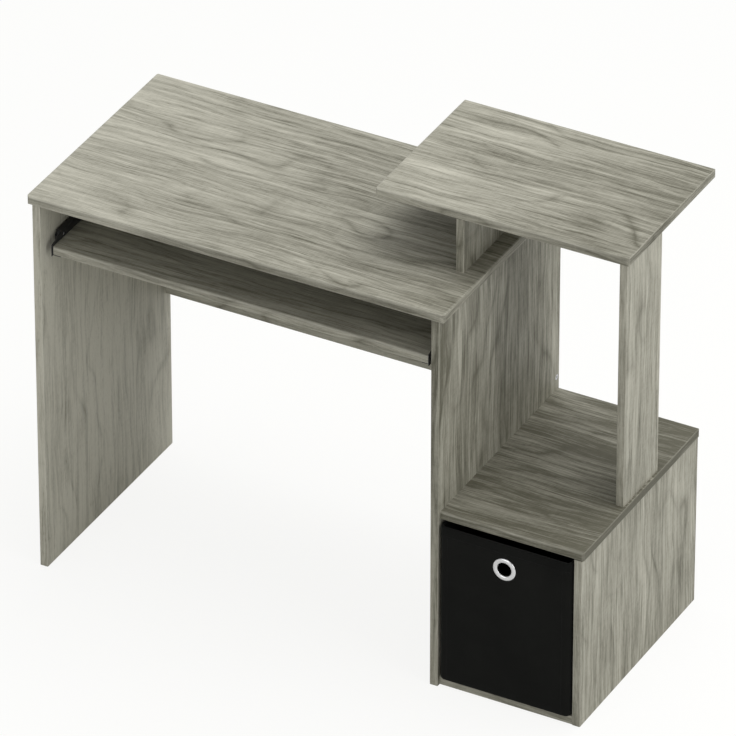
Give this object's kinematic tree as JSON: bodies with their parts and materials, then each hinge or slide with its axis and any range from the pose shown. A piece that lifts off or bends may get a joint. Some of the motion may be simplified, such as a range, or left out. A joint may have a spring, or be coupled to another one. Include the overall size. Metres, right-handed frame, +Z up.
{
  "type": "computer desk with keyboard tray",
  "caption": "Wood-grain computer desk with a pull-out keyboard tray on roller slides, a raised side shelf, an open binder bay and a cabinet bay with a fabric bin.",
  "frame": {"origin": "on the floor under the middle of the whole desk", "axes": "+X to the sitter's right along the desk, +Y to the back, +Z up"},
  "size_m": [1.05, 0.445, 0.853],
  "materials": {
    "laminate": "grey oak grain laminate, matt",
    "slide_steel": "black powder coat",
    "roller_nylon": "black nylon",
    "zinc_steel": "bright zinc plate",
    "cam_zinc": "die cast zinc",
    "beech": "plain beech dowel",
    "bin_fabric": "black non-woven fabric",
    "stiffener": "fabric covered board",
    "ring_metal": "satin nickel"
  },
  "bodies": {
    "frame": {"left_panel": "laminate", "middle_panel": "laminate", "modesty_panel": "laminate", "desktop": "laminate", "raised_shelf": "laminate", "riser_panel": "laminate", "shelf_post": "laminate", "cabinet_top": "laminate", "cabinet_bottom": "laminate", "right_panel": "laminate", "left_slide_channel": "slide_steel", "right_slide_channel": "slide_steel", "left_front_axle": "zinc_steel", "right_front_axle": "zinc_steel", "left_channel_screw_1": "zinc_steel", "left_channel_screw_2": "zinc_steel", "right_channel_screw_1": "zinc_steel", "right_channel_screw_2": "zinc_steel", "modesty_screw_left_upper": "zinc_steel", "modesty_screw_left_lower": "zinc_steel", "modesty_screw_right_upper": "zinc_steel", "modesty_screw_right_lower": "zinc_steel", "cabinet_top_screw_front": "zinc_steel", "cabinet_top_screw_back": "zinc_steel", "cabinet_bottom_screw_front": "zinc_steel", "cabinet_bottom_screw_back": "zinc_steel", "post_screw": "zinc_steel", "riser_screw": "zinc_steel", "cabinet_top_dowel_front": "beech", "cabinet_top_dowel_back": "beech", "cabinet_bottom_dowel_front": "beech", "cabinet_bottom_dowel_back": "beech", "post_dowel": "beech", "riser_dowel": "beech", "left_front_cam_lock": "cam_zinc", "left_front_cam_bolt": "cam_zinc", "left_back_cam_lock": "cam_zinc", "left_back_cam_bolt": "cam_zinc", "middle_front_cam_lock": "cam_zinc", "middle_front_cam_bolt": "cam_zinc", "middle_back_cam_lock": "cam_zinc", "middle_back_cam_bolt": "cam_zinc"},
    "tray": {"keyboard_tray": "laminate", "left_slide_rail": "slide_steel", "right_slide_rail": "slide_steel", "left_rear_axle": "zinc_steel", "right_rear_axle": "zinc_steel", "left_rail_screw_1": "zinc_steel", "left_rail_screw_2": "zinc_steel", "right_rail_screw_1": "zinc_steel", "right_rail_screw_2": "zinc_steel"},
    "left_front_roller": {"left_front_roller": "roller_nylon"},
    "left_rear_roller": {"left_rear_roller": "roller_nylon"},
    "right_front_roller": {"right_front_roller": "roller_nylon"},
    "right_rear_roller": {"right_rear_roller": "roller_nylon"},
    "bin": {"bin_shell": "bin_fabric", "bin_base_board": "stiffener", "bin_ring_front": "ring_metal", "bin_ring_back": "ring_metal"}
  },
  "joints": [
    {"name": "tray_slide", "type": "slide", "parent": "frame", "child": "tray", "axis": [0, -1, 0], "range_m": [0, 0.22]},
    {"name": "bin_slide", "type": "slide", "parent": "frame", "child": "bin", "axis": [0, -1, 0], "range_m": [0, 0.4]},
    {"name": "left_front_roller_spin", "type": "hinge", "parent": "frame", "child": "left_front_roller", "pos_m": [-0.49475, -0.163, 0.6405], "axis": [1, 0, 0], "range_deg": [0, 1577]},
    {"name": "left_rear_roller_spin", "type": "hinge", "parent": "tray", "child": "left_rear_roller", "pos_m": [-0.494, 0.084, 0.63375], "axis": [1, 0, 0], "range_deg": [0, 1364]},
    {"name": "right_front_roller_spin", "type": "hinge", "parent": "frame", "child": "right_front_roller", "pos_m": [0.22625, -0.163, 0.6405], "axis": [1, 0, 0], "range_deg": [0, 1577]},
    {"name": "right_rear_roller_spin", "type": "hinge", "parent": "tray", "child": "right_rear_roller", "pos_m": [0.2255, 0.084, 0.63375], "axis": [1, 0, 0], "range_deg": [0, 1364]}
  ],
  "couplings": [
    {"joint": "left_front_roller_spin", "follows": "tray_slide", "rad_per_m": 125},
    {"joint": "left_rear_roller_spin", "follows": "tray_slide", "rad_per_m": 108.11},
    {"joint": "right_front_roller_spin", "follows": "tray_slide", "rad_per_m": 125},
    {"joint": "right_rear_roller_spin", "follows": "tray_slide", "rad_per_m": 108.11}
  ]
}
